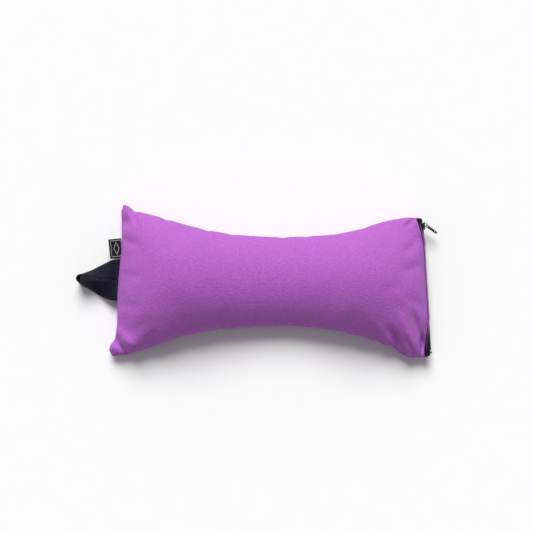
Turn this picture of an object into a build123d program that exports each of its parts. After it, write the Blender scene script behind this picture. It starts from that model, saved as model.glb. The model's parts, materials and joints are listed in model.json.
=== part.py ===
from build123d import *
from math import cos, radians, sin, sqrt
import os

# Bone-shaped support cushion: a stuffed inner bag in a zip-off cover, with a carry loop and a woven
# label in the left end seam and a coil zipper across the right end.
# Millimetres, +X along the cushion towards the zipper, +Y to its back edge, +Z up.
# The origin is on the flat underside, below the middle of the waist.

# ---- Driving dimensions: the cushion ----
# Each station is (x, front y, back y, top z, bottom z, side roundness). The underside reaches below
# z = 0 along the body, and is cut flat there, where the cushion rests.
STATIONS = [
    (-190, -92, 91, 20, 10, 0.94),
    (-184, -91, 91, 38, 2, 0.80),
    (-167, -88, 88, 62, -5, 0.62),
    (-136, -79, 79, 79, -8, 0.52),
    (-104, -70, 70, 84, -8, 0.50),
    (-60, -61, 61, 78, -8, 0.56),
    (0, -56, 55, 72, -8, 0.62),
    (50, -58, 56, 75, -8, 0.60),
    (95, -65, 61, 82, -8, 0.54),
    (130, -75, 70, 82, -8, 0.52),
    (163, -87, 78, 68, -5, 0.60),
    (186, -94, 81, 46, -1, 0.76),
    (196, -96, 82, 30, 2, 0.92),
]
END_FAN = 2.6  # each end seam leans this many degrees, so that the front edge is the longer one
HALF_LENGTH = 196.0

COVER_WALL = 1.6
THREAD_START = 1.7  # depth of the seam thread below the cover's outside
THREAD_END = 2.3
BAG_DEPTH = 2.6
BAG_WALL = 0.6
BAG_THREAD_START = 3.25
BAG_THREAD_END = 3.65
FILLING_DEPTH = 3.9
SEAM_BAND = 0.9  # height of a seam thread
BAG_LEFT = -179.0
BAG_RIGHT = 187.0
THREAD_RIGHT = 188.0
WIDE = 260.0  # larger than the cushion is wide

# ---- Driving dimensions: the zipper ----
ZIP_X = HALF_LENGTH
ZIP_Y = -7.0
ZIP_Z = 16.0
SLOT_LENGTH = 170.0
SLOT_HEIGHT = 13.0
SLOT_CORNER = 3.0
TAPE_LENGTH = 173.0
TAPE_THICKNESS = 0.6
TAPE_BACK = -2.3  # depth of the tape's inner face, from the outside of the end wall
TAPE_INNER_EDGE = 0.35
TAPE_OUTER_EDGE = 10.5
TAPE_FRONT = TAPE_BACK + TAPE_THICKNESS
TAPE_TAPER = 7.5  # length over which each end of a tape narrows, to fit the rounded end wall
TAPE_END_EDGE = 3.7

COIL_PITCH = 1.4
COIL_TURN = 0.6
COIL_REACH = 0.9
COIL_SPINE_INNER = 1.4
COIL_SPINE_OUTER = 2.1
COIL_DEPTH = 2.1
CHAIN_START = -80.4
CHAIN_END = 78.4

STOP_BACK = TAPE_BACK - 0.6
TOP_STOP_AT = 83.0
TOP_STOP_LENGTH = 2.0
TOP_STOP_WIDTH = 2.2
TOP_STOP_SPACE = 0.2
TOP_STOP_FRONT = TAPE_FRONT + 0.9
BOTTOM_STOP_AT = -82.0
BOTTOM_STOP_LENGTH = 2.4
BOTTOM_STOP_WIDTH = 5.0
BOTTOM_STOP_FRONT = TAPE_FRONT + 2.2

SLIDER_AT = 77.0
SLIDER_LENGTH = 9.4
SLIDER_WIDTH = 7.8
SLIDER_TAIL_WIDTH = 6.6
PLATE = 1.0
OUTER_PLATE_BACK = 0.75
INNER_PLATE_BACK = -3.6
SHOULDER = 1.8  # from the slider's head end back to its widest place
HEAD_CORNER = 1.5
THROAT = 1.1  # depth of the notch in the middle of the head end
TAIL_CORNER = 1.0
FLANGE = 0.7
FLANGE_REACH = -1.2
POST_AT = 3.0
POST_LENGTH = 1.2
POST_WIDTH = 0.5
WEDGE_FRONT = 0.6  # the dividing wedge, from the post's middle
WEDGE_BACK = -0.9
WEDGE_HALF = 1.0
WEDGE_CLEARANCE = 0.3
CROWN_AT = 1.0
CROWN_RADIUS = 2.2
CROWN_BAR = 0.35
CROWN_LEG = 1.2
CROWN_ROOT = 0.3  # how far the crown's feet go into the plate

PULL_ANGLE = -36.4  # the pull tab's direction at rest, in degrees about +Z from +X
PULL_ROLL = 45.0
PULL_THICKNESS = 0.8
PULL_WIDTH = 4.6
PULL_EYE_AT = 2.55
PULL_EYE_RADIUS = 1.5
PULL_TIP_HOLE_AT = PULL_EYE_AT + 11.4
PULL_TIP_HOLE_RADIUS = 1.15
PULL_END_AT = PULL_EYE_AT + 15.1

STITCH_PITCH = 3.2
STITCH_LENGTH = 2.3
STITCH_WIDTH = 0.45
STITCH_HEIGHT = 0.3
HEM_STITCH_AT = 8.6

# ---- Driving dimensions: the carry loop and the label ----
TAPE_25 = 25.0
LOOP_THICKNESS = 1.5
LOOP_Z = 15.0
LOOP_MIDDLE_Y = 3.0
# One leg of the loop, from inside the seam to the nose: (x, outer edge y, inner edge y), both
# measured from the loop's middle line. The edges come closer as the tape turns on its edge.
UPPER_LEG = [(-182, 24.3, -0.7), (-195, 24.3, -0.7), (-205, 21.6, -0.4), (-214, 17.8, 0.4),
             (-222, 14.2, 2.2), (-229, 10.9, 3.6), (-235, 8.3, 4.6), (-239.4, 5.0, 3.4)]
LOWER_LEG = [(-182, 28.0, 3.0), (-195, 28.0, 3.0), (-205, 25.0, 2.6), (-214, 20.5, 2.8),
             (-222, 15.8, 3.2), (-229, 11.4, 3.9), (-235, 8.3, 4.6), (-239.4, 5.0, 3.4)]
NOSE = (-241.2, 0.0)
LEG_SLOT = 1.7
SLOT_EASE = 0.2  # extra width of the openings for the loop and the label
LOOP_STITCH_X = -193.4

LABEL_WIDTH = 24.5
LABEL_LAYER = 0.35
LABEL_GAP = 0.2
LABEL_LENGTH = 16.0
LABEL_Y = 40.4
LABEL_TIP_X = -201.0
LABEL_TURN = 7.0
LABEL_SLOT = 1.1
LABEL_SLOT_EXTRA = 1.0


def section_plane(x, inset):
    """The upright plane of the station at x, moved inwards at the ends and leaning with the fan."""
    lean = radians(END_FAN * x / HALF_LENGTH)
    origin = (x * (1 - inset / HALF_LENGTH), 0, 0)
    return Plane(origin=origin, x_dir=(-sin(lean), cos(lean), 0), z_dir=(cos(lean), sin(lean), 0))


def cushion_body(inset):
    """The whole cushion's solid, with its surface moved inwards by the inset."""
    with BuildPart() as body:
        for x, front, back, top, bottom, roundness in STATIONS:
            middle_y = (front + back) / 2
            middle_z = (top + bottom) / 2
            rise = (top - bottom) / 2 - inset
            width = (back - front) / 2 - inset
            side = roundness * (top - bottom) / 2 - inset
            reach = width - side
            crown = (reach**2 + rise**2 - side**2) / (2 * (rise - side))
            corner_y = reach + side * reach / (crown - side)
            corner_z = side * (crown - rise) / (crown - side)
            with BuildSketch(section_plane(x, inset)):
                with BuildLine():
                    corners = [(middle_y + y * corner_y, middle_z + z * corner_z)
                               for y, z in ((-1, 1), (1, 1), (1, -1), (-1, -1))]
                    middles = [(middle_y, middle_z + rise), (middle_y + width, middle_z),
                               (middle_y, middle_z - rise), (middle_y - width, middle_z)]
                    for number in range(4):
                        ThreePointArc(corners[number], middles[number], corners[(number + 1) % 4])
                make_face()
        loft(ruled=True)
        split(bisect_by=Plane.XY.offset(inset), keep=Keep.TOP)
    return body.part


def bag_body(inset):
    """The cushion's body between the two end walls of the inner bag."""
    extra = inset - BAG_DEPTH
    with BuildPart() as body:
        add(cushion_body(inset))
        split(bisect_by=Plane.YZ.offset(BAG_LEFT + extra), keep=Keep.TOP)
        split(bisect_by=Plane.YZ.offset(BAG_RIGHT - extra), keep=Keep.BOTTOM)
    return body.part


def seam_region(low, high):
    """Everything between two heights above or below the seam's line, from end to end."""
    line = [(x, (top + bottom) / 2) for x, _, _, top, bottom, _ in STATIONS]
    line = [(-WIDE, line[0][1])] + line + [(WIDE, line[-1][1])]
    with BuildPart() as region:
        with BuildSketch(Plane.XZ):
            with BuildLine():
                Polyline([(x, z + low) for x, z in line] + [(x, z + high) for x, z in reversed(line)],
                         close=True)
            make_face()
        extrude(amount=WIDE, both=True)
    return region.part


# ---- The zipper's own plane: x along the chain to the back corner, y up, z out of the cushion ----
zip_lean = radians(END_FAN)
zip_along = Vector(-sin(zip_lean), cos(zip_lean), 0)
zip_out = Vector(cos(zip_lean), sin(zip_lean), 0)
zip_origin = Vector(ZIP_X, 0, ZIP_Z) + zip_along * ZIP_Y
zip_plane = Plane(origin=zip_origin, x_dir=zip_along, z_dir=zip_out)


def zip_slab(along, across, length, width, back, front):
    """A block in the zipper's frame: its middle along and across, its size, and its depths."""
    with BuildPart() as slab:
        with BuildSketch(zip_plane.offset(back)):
            with Locations((along, across)):
                Rectangle(length, width)
        extrude(amount=front - back)
    return slab.part


# ---- Openings in the cover: the zipper's slot, the loop's two legs and the label ----
with BuildPart() as cover_openings:
    with BuildSketch(zip_plane):
        RectangleRounded(SLOT_LENGTH, SLOT_HEIGHT, SLOT_CORNER)
    extrude(amount=2 * COVER_WALL, both=True)
    for leg, side in ((UPPER_LEG, 1), (LOWER_LEG, -1)):
        leg_y = LOOP_MIDDLE_Y + side * (leg[0][1] + leg[0][2]) / 2
        with BuildSketch(Plane.YZ.offset(leg[1][0])):
            with Locations((leg_y, LOOP_Z)):
                Rectangle(TAPE_25 + SLOT_EASE, LEG_SLOT)
        extrude(amount=leg[0][0] - leg[1][0])
    label_plane = Plane(origin=(LABEL_TIP_X, LABEL_Y, LOOP_Z), x_dir=(1, 0, 0), z_dir=(0, 0, 1))
    label_plane = label_plane.rotated((0, 0, LABEL_TURN))
    with BuildSketch(label_plane.offset(-LABEL_SLOT / 2)):
        with Locations((LABEL_LENGTH / 2, 0)):
            Rectangle(LABEL_LENGTH + LABEL_SLOT_EXTRA, LABEL_WIDTH + SLOT_EASE)
    extrude(amount=LABEL_SLOT)

# ---- The cover ----
cover_outside = cushion_body(0)
cover_inside = cushion_body(COVER_WALL)
above_seam = seam_region(0, WIDE)
below_seam = seam_region(-WIDE, 0)

with BuildPart() as cover_top_panel:
    add(cover_outside)
    add(cover_inside, mode=Mode.SUBTRACT)
    add(above_seam, mode=Mode.INTERSECT)
    add(cover_openings.part, mode=Mode.SUBTRACT)

with BuildPart() as cover_bottom_panel:
    add(cover_outside)
    add(cover_inside, mode=Mode.SUBTRACT)
    add(below_seam, mode=Mode.INTERSECT)
    add(cover_openings.part, mode=Mode.SUBTRACT)

seam_strip = seam_region(-SEAM_BAND / 2, SEAM_BAND / 2)

with BuildPart() as cover_seam_thread:
    add(cushion_body(THREAD_START))
    add(cushion_body(THREAD_END), mode=Mode.SUBTRACT)
    add(seam_strip, mode=Mode.INTERSECT)
    split(bisect_by=Plane.YZ.offset(THREAD_RIGHT), keep=Keep.BOTTOM)
    split(bisect_by=Plane.YZ.offset(BAG_LEFT), keep=Keep.TOP)

# ---- The inner bag and its filling ----
bag_outside = bag_body(BAG_DEPTH)
bag_inside = bag_body(BAG_DEPTH + BAG_WALL)

with BuildPart() as inner_bag_top:
    add(bag_outside)
    add(bag_inside, mode=Mode.SUBTRACT)
    add(above_seam, mode=Mode.INTERSECT)

with BuildPart() as inner_bag_bottom:
    add(bag_outside)
    add(bag_inside, mode=Mode.SUBTRACT)
    add(below_seam, mode=Mode.INTERSECT)

with BuildPart() as inner_bag_seam_thread:
    add(bag_body(BAG_THREAD_START))
    add(bag_body(BAG_THREAD_END), mode=Mode.SUBTRACT)
    add(seam_strip, mode=Mode.INTERSECT)

with BuildPart() as filling:
    add(bag_body(FILLING_DEPTH))


# ---- The zipper's tapes, coils and stops ----
def zipper_tape(side):
    """One woven tape, behind the end wall: side is 1 above the chain and -1 below it."""
    end = TAPE_LENGTH / 2
    with BuildPart() as tape:
        with BuildSketch(zip_plane.offset(TAPE_BACK)):
            with BuildLine():
                Polyline((-end, side * TAPE_INNER_EDGE), (end, side * TAPE_INNER_EDGE),
                         (end, side * TAPE_END_EDGE), (end - TAPE_TAPER, side * TAPE_OUTER_EDGE),
                         (TAPE_TAPER - end, side * TAPE_OUTER_EDGE), (-end, side * TAPE_END_EDGE),
                         close=True)
            make_face()
        extrude(amount=TAPE_THICKNESS)
    return tape


def zipper_coil(side):
    """One coil as a comb: its spine lies along the tape's edge and its turns pass the middle."""
    chain_length = CHAIN_END - CHAIN_START
    turns = int(chain_length / COIL_PITCH) - 1
    spine_width = COIL_SPINE_OUTER - COIL_SPINE_INNER
    turn_length = COIL_SPINE_INNER + COIL_REACH + spine_width / 2
    turn_middle = (COIL_SPINE_INNER + spine_width / 2 - COIL_REACH) / 2
    with BuildPart() as coil:
        with BuildSketch(zip_plane.offset(TAPE_FRONT)):
            with Locations(((CHAIN_START + CHAIN_END) / 2, side * (COIL_SPINE_INNER + spine_width / 2))):
                Rectangle(chain_length, spine_width)
            first = CHAIN_START + COIL_PITCH * (1 if side > 0 else 0.5)
            with Locations(*[(first + COIL_PITCH * turn, side * turn_middle) for turn in range(turns)]):
                Rectangle(COIL_TURN, turn_length)
        extrude(amount=COIL_DEPTH)
    return coil


def zipper_stitching(side):
    """The row of stitches that holds one tape to the end wall of the cover."""
    count = int(SLOT_LENGTH / STITCH_PITCH)
    with BuildPart() as stitching:
        with BuildSketch(zip_plane):
            with Locations((0, side * HEM_STITCH_AT)):
                with GridLocations(STITCH_PITCH, 1, count, 1):
                    SlotOverall(STITCH_LENGTH, STITCH_WIDTH)
        extrude(amount=STITCH_HEIGHT)
    return stitching


zipper_tape_upper = zipper_tape(1)
zipper_tape_lower = zipper_tape(-1)
zipper_coil_upper = zipper_coil(1)
zipper_coil_lower = zipper_coil(-1)
zipper_stitching_upper = zipper_stitching(1)
zipper_stitching_lower = zipper_stitching(-1)

with BuildPart() as zipper_top_stops:
    for side in (1, -1):
        add(zip_slab(TOP_STOP_AT, side * (TOP_STOP_SPACE + TOP_STOP_WIDTH) / 2, TOP_STOP_LENGTH,
                     TOP_STOP_WIDTH, STOP_BACK, TOP_STOP_FRONT))
    add(zipper_tape_upper.part, mode=Mode.SUBTRACT)
    add(zipper_tape_lower.part, mode=Mode.SUBTRACT)

with BuildPart() as zipper_bottom_stop:
    add(zip_slab(BOTTOM_STOP_AT, 0, BOTTOM_STOP_LENGTH, BOTTOM_STOP_WIDTH, STOP_BACK, BOTTOM_STOP_FRONT))
    add(zipper_tape_upper.part, mode=Mode.SUBTRACT)
    add(zipper_tape_lower.part, mode=Mode.SUBTRACT)

# ---- The slider: two plates round the chain, a dividing post and the crown that holds the pull ----
half_length = SLIDER_LENGTH / 2
head = SLIDER_WIDTH / 2
tail = SLIDER_TAIL_WIDTH / 2
shoulder_at = half_length - SHOULDER
tail_at = TAIL_CORNER - half_length
plate_outline = [(shoulder_at, head), (half_length, head - HEAD_CORNER), (half_length - THROAT, 0),
                 (half_length, HEAD_CORNER - head), (shoulder_at, -head), (tail_at, -tail),
                 (-half_length, TAIL_CORNER - tail), (-half_length, tail - TAIL_CORNER), (tail_at, tail)]
slider_plane = Plane(origin=zip_origin + zip_along * SLIDER_AT, x_dir=zip_along, z_dir=zip_out)

with BuildPart() as zipper_slider_body:
    for depth in (OUTER_PLATE_BACK, INNER_PLATE_BACK):
        with BuildSketch(slider_plane.offset(depth)):
            with BuildLine():
                Polyline(plate_outline, close=True)
            make_face()
        extrude(amount=PLATE)
    with BuildSketch(slider_plane.offset(FLANGE_REACH)):
        for side in (1, -1):
            with BuildLine():
                Polyline((shoulder_at, side * head), (tail_at, side * tail),
                         (tail_at, side * (tail - FLANGE)), (shoulder_at, side * (head - FLANGE)),
                         close=True)
            make_face()
    extrude(amount=OUTER_PLATE_BACK - FLANGE_REACH)
    with BuildSketch(slider_plane.offset(INNER_PLATE_BACK + PLATE)):
        with Locations((POST_AT, 0)):
            Rectangle(POST_LENGTH, POST_WIDTH)
    extrude(amount=OUTER_PLATE_BACK - INNER_PLATE_BACK - PLATE)
    with BuildSketch(slider_plane.offset(TAPE_FRONT + WEDGE_CLEARANCE)):
        with Locations((POST_AT, 0)):
            Polygon((WEDGE_FRONT, WEDGE_HALF), (WEDGE_FRONT, -WEDGE_HALF), (WEDGE_BACK, 0))
    extrude(amount=OUTER_PLATE_BACK - TAPE_FRONT - WEDGE_CLEARANCE)
    crown_foot = OUTER_PLATE_BACK + PLATE
    crown_centre = crown_foot + CROWN_LEG
    crown_plane = Plane(origin=slider_plane.origin, x_dir=zip_along, z_dir=zip_along.cross(zip_out))
    root = crown_foot - CROWN_ROOT
    with BuildLine(crown_plane):
        foot = Line((CROWN_AT - CROWN_RADIUS, root), (CROWN_AT - CROWN_RADIUS, crown_centre))
        arch = TangentArc(foot @ 1, (CROWN_AT + CROWN_RADIUS, crown_centre), tangent=foot % 1)
        Line(arch @ 1, (CROWN_AT + CROWN_RADIUS, root))
    root_point = crown_plane.from_local_coords((CROWN_AT - CROWN_RADIUS, root, 0))
    with BuildSketch(Plane(origin=root_point, z_dir=zip_out)):
        Circle(CROWN_BAR)
    sweep()

# ---- The pull tab: a flat plate, rolled about its long axis, with its eye round the crown ----
pull_centre = zip_origin + zip_along * (SLIDER_AT + CROWN_AT) + zip_out * crown_centre
pull_turn = radians(PULL_ANGLE)
pull_along = Vector(cos(pull_turn), sin(pull_turn), 0)
pull_across = Vector(-sin(pull_turn), cos(pull_turn), 0)
pull_face = pull_across * cos(radians(PULL_ROLL)) + Vector(0, 0, sin(radians(PULL_ROLL)))
pull_plane = Plane(origin=pull_centre, x_dir=pull_along, z_dir=pull_face)

with BuildPart() as zipper_pull_tab:
    round_end_at = PULL_END_AT - PULL_WIDTH / 2
    with BuildSketch(pull_plane.offset(-PULL_THICKNESS / 2)):
        with Locations(((PULL_EYE_AT + round_end_at) / 2, 0)):
            SlotCenterToCenter(round_end_at - PULL_EYE_AT, PULL_WIDTH)
        with Locations((PULL_EYE_AT, 0)):
            Circle(PULL_EYE_RADIUS, mode=Mode.SUBTRACT)
        with Locations((PULL_TIP_HOLE_AT, 0)):
            Circle(PULL_TIP_HOLE_RADIUS, mode=Mode.SUBTRACT)
    extrude(amount=PULL_THICKNESS)

# ---- The carry loop: one 25 mm tape that leaves the seam flat and turns on its edge at the nose ----
def leg_sections(leg, side):
    """The tape's middle, width direction and edge heights along one leg, in the loop's order."""
    sections = []
    for x, outer, inner in leg:
        across = outer - inner
        upright = sqrt(TAPE_25**2 - across**2)
        middle = Vector(x, LOOP_MIDDLE_Y + side * (outer + inner) / 2, LOOP_Z)
        width_way = Vector(0, side * across, -upright).normalized()
        sections.append((middle, width_way))
    return sections


nose_section = (Vector(NOSE[0], LOOP_MIDDLE_Y + NOSE[1], LOOP_Z), Vector(0, 0, -1))
loop_sections = leg_sections(UPPER_LEG, 1) + [nose_section] + leg_sections(LOWER_LEG, -1)[::-1]

with BuildPart() as carry_loop:
    last = len(loop_sections) - 1
    for number, (middle, width_way) in enumerate(loop_sections):
        before = loop_sections[max(number - 1, 0)][0]
        after = loop_sections[min(number + 1, last)][0]
        travel = (after - before) - width_way * (after - before).dot(width_way)
        with BuildSketch(Plane(origin=middle, x_dir=width_way, z_dir=travel.normalized())):
            Rectangle(TAPE_25, LOOP_THICKNESS)
    loft(ruled=True)

with BuildPart() as loop_stitching:
    for leg, side in ((UPPER_LEG, 1), (LOWER_LEG, -1)):
        leg_y = LOOP_MIDDLE_Y + side * (leg[0][1] + leg[0][2]) / 2
        with BuildSketch(Plane.XY.offset(LOOP_Z + LOOP_THICKNESS / 2)):
            with Locations((LOOP_STITCH_X, leg_y)):
                with GridLocations(1, STITCH_PITCH, 1, int(TAPE_25 / STITCH_PITCH)):
                    SlotOverall(STITCH_LENGTH, STITCH_WIDTH, rotation=90)
        extrude(amount=STITCH_HEIGHT)

# ---- The woven label: one ribbon folded in two, with its fold outside and its ends in the seam ----
label_half = LABEL_LAYER + LABEL_GAP / 2
label_side = Plane(origin=label_plane.origin, x_dir=label_plane.x_dir, z_dir=-label_plane.y_dir)

with BuildPart() as woven_label:
    with BuildSketch(label_side):
        with Locations((LABEL_LENGTH / 2, 0)):
            Rectangle(LABEL_LENGTH, 2 * label_half)
        with Locations((LABEL_LENGTH / 2 + label_half, 0)):
            Rectangle(LABEL_LENGTH, LABEL_GAP, mode=Mode.SUBTRACT)
    extrude(amount=LABEL_WIDTH / 2, both=True)

# ---- Every piece, written under its own name ----
pieces = {
    "cover_top_panel": cover_top_panel,
    "cover_bottom_panel": cover_bottom_panel,
    "cover_seam_thread": cover_seam_thread,
    "inner_bag_top": inner_bag_top,
    "inner_bag_bottom": inner_bag_bottom,
    "inner_bag_seam_thread": inner_bag_seam_thread,
    "filling": filling,
    "zipper_tape_upper": zipper_tape_upper,
    "zipper_tape_lower": zipper_tape_lower,
    "zipper_coil_upper": zipper_coil_upper,
    "zipper_coil_lower": zipper_coil_lower,
    "zipper_top_stops": zipper_top_stops,
    "zipper_bottom_stop": zipper_bottom_stop,
    "zipper_stitching_upper": zipper_stitching_upper,
    "zipper_stitching_lower": zipper_stitching_lower,
    "zipper_slider_body": zipper_slider_body,
    "zipper_pull_tab": zipper_pull_tab,
    "carry_loop": carry_loop,
    "loop_stitching": loop_stitching,
    "woven_label": woven_label,
}

os.makedirs("parts", exist_ok=True)
for name, piece in pieces.items():
    piece.part.label = name
    export_step(piece.part, f"parts/{name}.step")
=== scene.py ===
import json
import math

import bmesh
import bpy
import numpy as np
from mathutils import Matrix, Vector
from mathutils.bvhtree import BVHTree


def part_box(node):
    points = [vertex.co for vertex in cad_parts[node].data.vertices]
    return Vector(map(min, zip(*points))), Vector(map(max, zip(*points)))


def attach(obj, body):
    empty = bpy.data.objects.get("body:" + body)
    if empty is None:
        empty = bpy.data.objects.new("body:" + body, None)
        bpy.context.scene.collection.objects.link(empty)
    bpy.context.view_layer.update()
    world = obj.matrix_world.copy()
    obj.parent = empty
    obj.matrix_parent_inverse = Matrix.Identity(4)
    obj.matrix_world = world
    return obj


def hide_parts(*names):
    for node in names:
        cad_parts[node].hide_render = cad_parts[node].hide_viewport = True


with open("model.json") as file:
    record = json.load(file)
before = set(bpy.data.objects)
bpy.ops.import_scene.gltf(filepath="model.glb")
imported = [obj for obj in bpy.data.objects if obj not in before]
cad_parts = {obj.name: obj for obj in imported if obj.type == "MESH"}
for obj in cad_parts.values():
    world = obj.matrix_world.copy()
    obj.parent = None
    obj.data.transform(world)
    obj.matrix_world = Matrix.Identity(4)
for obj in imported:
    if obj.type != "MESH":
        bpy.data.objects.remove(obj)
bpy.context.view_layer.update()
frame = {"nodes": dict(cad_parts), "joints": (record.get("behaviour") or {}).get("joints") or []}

MM = 0.001
# ---------------------------------------------------------------- shape of the cushion, in millimetres
FRONT_EDGE = [(-199, -95), (-178, -92.5), (-158, -86.5), (-137, -80), (-112, -71.5), (-87, -65), (-60, -61),
              (-37, -58.5), (0, -56.5), (25, -56.5), (60, -59.5), (87, -64), (112, -70), (132, -76.5),
              (150, -84), (166, -92), (178, -97.5), (190, -95), (201, -91)]
BACK_EDGE = [(-199, 96), (-184, 98), (-170, 90.5), (-150, 84), (-137, 80.5), (-112, 72.5), (-87, 66),
             (-60, 60.5), (-37, 57.5), (10, 55), (50, 56), (75, 57.5), (94, 60.5), (112, 65), (132, 71.5),
             (150, 76.5), (168, 79.5), (184, 81), (200, 79)]
SEAM_HEIGHT = [(-200, 11), (-188, 13), (-170, 22), (-140, 31), (-100, 33), (0, 31), (100, 33), (140, 30),
               (170, 23), (194, 16), (204, 16)]
CROWN = [(-200, 40), (-150, 49), (-105, 52), (-55, 47), (0, 42), (55, 44), (105, 50), (150, 47), (200, 40)]
# The left end seam, from the front corner to the back one: (y, x).
LEFT_SEAM = [(-96, -196.5), (-84, -199), (-73, -194), (-60, -191.5), (-25, -191.5), (0, -190.5),
             (22, -188.5), (45, -186.5), (70, -187), (90, -187.5), (98, -185.5)]
# Where the long seams are drawn up: (x, side, depth). A pucker's crease runs in from the seam.
PUCKERS = [(-171, 1, 2.2), (-131, 1, 1.6), (-79, 1, 1.3), (-47, 1, 1.0), (16, 1, 1.2), (46, 1, 0.8),
           (118, 1, 0.8), (-109, -1, 1.2), (-62, -1, 1.4), (24, -1, 0.7), (92, -1, 0.8),
           (134, -1, 1.8), (153, -1, 2.4)]
PUCKER_WIDTH = 5.0
PUCKER_REACH = 16.0
GRID_LONG = 132
GRID_ACROSS = 62
FLOOR_GAP = 0.05  # the cover's underside stays this far above the floor
# ---- how far the cloth simulation may change the drawn shape ----
SIMULATED_FRAMES = 20
PRESSURE = 4.0
KEPT_SHARE = 0.5
MOST_MOVED = 12
LESS_AT_CORNERS = 9.5
SMOOTHING_PASSES = 10
# ---- fabric walls, and how far the bag and wadding lie inside the cover ----
COVER_WALL = 1.5
BAG_WALL = 0.5
BAG_GAP = 3.4
WADDING_GAP = 5.0
# ---- sewing ----
SEAM_PITCH, SEAM_STITCH = 3.0, 2.2
HEM_PITCH, HEM_STITCH = 3.2, 2.3


def through(knots):
    """A smooth curve through listed points: returns its height at any x."""
    xs, ys = np.array(knots, float).T
    steps = np.diff(ys) / np.diff(xs)
    slopes = np.concatenate([[steps[0]], (steps[1:] + steps[:-1]) / 2, [steps[-1]]])

    def curve(x):
        x = np.clip(np.asarray(x, float), xs[0], xs[-1])
        i = np.clip(np.searchsorted(xs, x, side="right") - 1, 0, len(xs) - 2)
        width = xs[i + 1] - xs[i]
        t = (x - xs[i]) / width
        return ((2 * t**3 - 3 * t**2 + 1) * ys[i] + (t**3 - 2 * t**2 + t) * width * slopes[i]
                + (3 * t**2 - 2 * t**3) * ys[i + 1] + (t**3 - t**2) * width * slopes[i + 1])

    return curve


def ease(low, high, value):
    """0 below low, 1 above high, smooth between; low may be above high."""
    t = np.clip((np.asarray(value, float) - low) / (high - low), 0, 1)
    return t * t * (3 - 2 * t)


front_edge, back_edge = through(FRONT_EDGE), through(BACK_EDGE)
seam_height, crown_height = through(SEAM_HEIGHT), through(CROWN)
left_seam = through(LEFT_SEAM)

# ---------------------------------------------------------------- the zipper's frame
slide_axis = next(j for j in frame["joints"] if j["name"] == "slider_travel")["axis"]
ZIP_ALONG = -Vector(slide_axis)
ZIP_UP = Vector((0, 0, 1))
ZIP_OUT = ZIP_ALONG.cross(ZIP_UP)
tape_boxes = [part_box("zipper_tape_upper"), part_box("zipper_tape_lower")]
tape_middle = (tape_boxes[0][0] + tape_boxes[0][1] + tape_boxes[1][0] + tape_boxes[1][1]) / 4
ZIP_ORIGIN = tape_middle + ZIP_OUT * 2.0 * MM
TAPE_BACK, TAPE_FRONT = -2.3, -1.7
SLOT_HALF = 84.0
HEM_UP = 6.5


def zip_point(along, up, out):
    """A world point from millimetres along the chain, up across it and out of the cushion."""
    return ZIP_ORIGIN + (ZIP_ALONG * along + ZIP_UP * up + ZIP_OUT * out) * MM


def corner_turn(along):
    """How far the end wall lies back at this place along the chain: 0 upright, 1 laid back."""
    return np.maximum(np.clip((along - 54) / 32, 0, 1) ** 1.3, np.clip((-38 - along) / 40, 0, 1) ** 1.2)


def hem_line(along, side):
    """(up, out) of a panel's hem: side is 1 for the top panel and -1 for the bottom one."""
    turn = corner_turn(along)
    close = 1 - ease(83, 90, np.abs(along))
    if side > 0:
        return close * (HEM_UP - 2.0 * turn), -0.3 - 5.9 * turn
    return -close * HEM_UP, -1.8 - 1.0 * turn


# ---------------------------------------------------------------- mesh helpers
def new_object(name, points, faces, smooth=True):
    mesh = bpy.data.meshes.new(name)
    mesh.from_pydata([tuple(p) for p in points], [], [tuple(f) for f in faces])
    mesh.validate()
    mesh.update()
    if smooth:
        mesh.shade_smooth()
    obj = bpy.data.objects.new(name, mesh)
    bpy.context.scene.collection.objects.link(obj)
    return obj


def apply_modifiers(obj):
    graph = bpy.context.evaluated_depsgraph_get()
    made = bpy.data.meshes.new_from_object(obj.evaluated_get(graph))
    obj.modifiers.clear()
    obj.data = made
    return obj


def mesh_points(obj):
    points = np.zeros(len(obj.data.vertices) * 3)
    obj.data.vertices.foreach_get("co", points)
    return points.reshape(-1, 3)


def frames_along(points, first_up=(0, 0, 1)):
    """Unit tangent, side and up at each point of a line, turning as little as possible."""
    points = np.asarray(points, float)
    tangents = np.gradient(points, axis=0)
    tangents /= np.linalg.norm(tangents, axis=1)[:, None]
    up = np.array(first_up, float)
    ups = []
    for tangent in tangents:
        up = up - tangent * (up @ tangent)
        up = up / np.linalg.norm(up)
        ups.append(up)
    ups = np.array(ups)
    return tangents, np.cross(tangents, ups), ups


def tube(name, lines, radius, sides=8, first_up=(0, 0, 1), flatten=1.0):
    """One object of threads or wires with closed ends, one along each line of points."""
    verts, faces = [], []
    for line in lines:
        line = np.asarray(line, float)
        _, across, up = frames_along(line, first_up)
        start = len(verts)
        for k, point in enumerate(line):
            for side in range(sides):
                angle = 2 * math.pi * side / sides
                verts.append(point + radius * (math.cos(angle) * across[k]
                                               + flatten * math.sin(angle) * up[k]))
        for k in range(len(line) - 1):
            for side in range(sides):
                a = start + k * sides + side
                b = start + k * sides + (side + 1) % sides
                faces.append((a, b, b + sides, a + sides))
        faces.append([start + side for side in range(sides)][::-1])
        last = start + (len(line) - 1) * sides
        faces.append([last + side for side in range(sides)])
    return new_object(name, verts, faces)


# ---------------------------------------------------------------- node material helpers
def material(name):
    made = bpy.data.materials.new(name)
    made.use_nodes = True
    nodes, links = made.node_tree.nodes, made.node_tree.links
    return made, nodes, links, nodes["Principled BSDF"]


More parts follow.
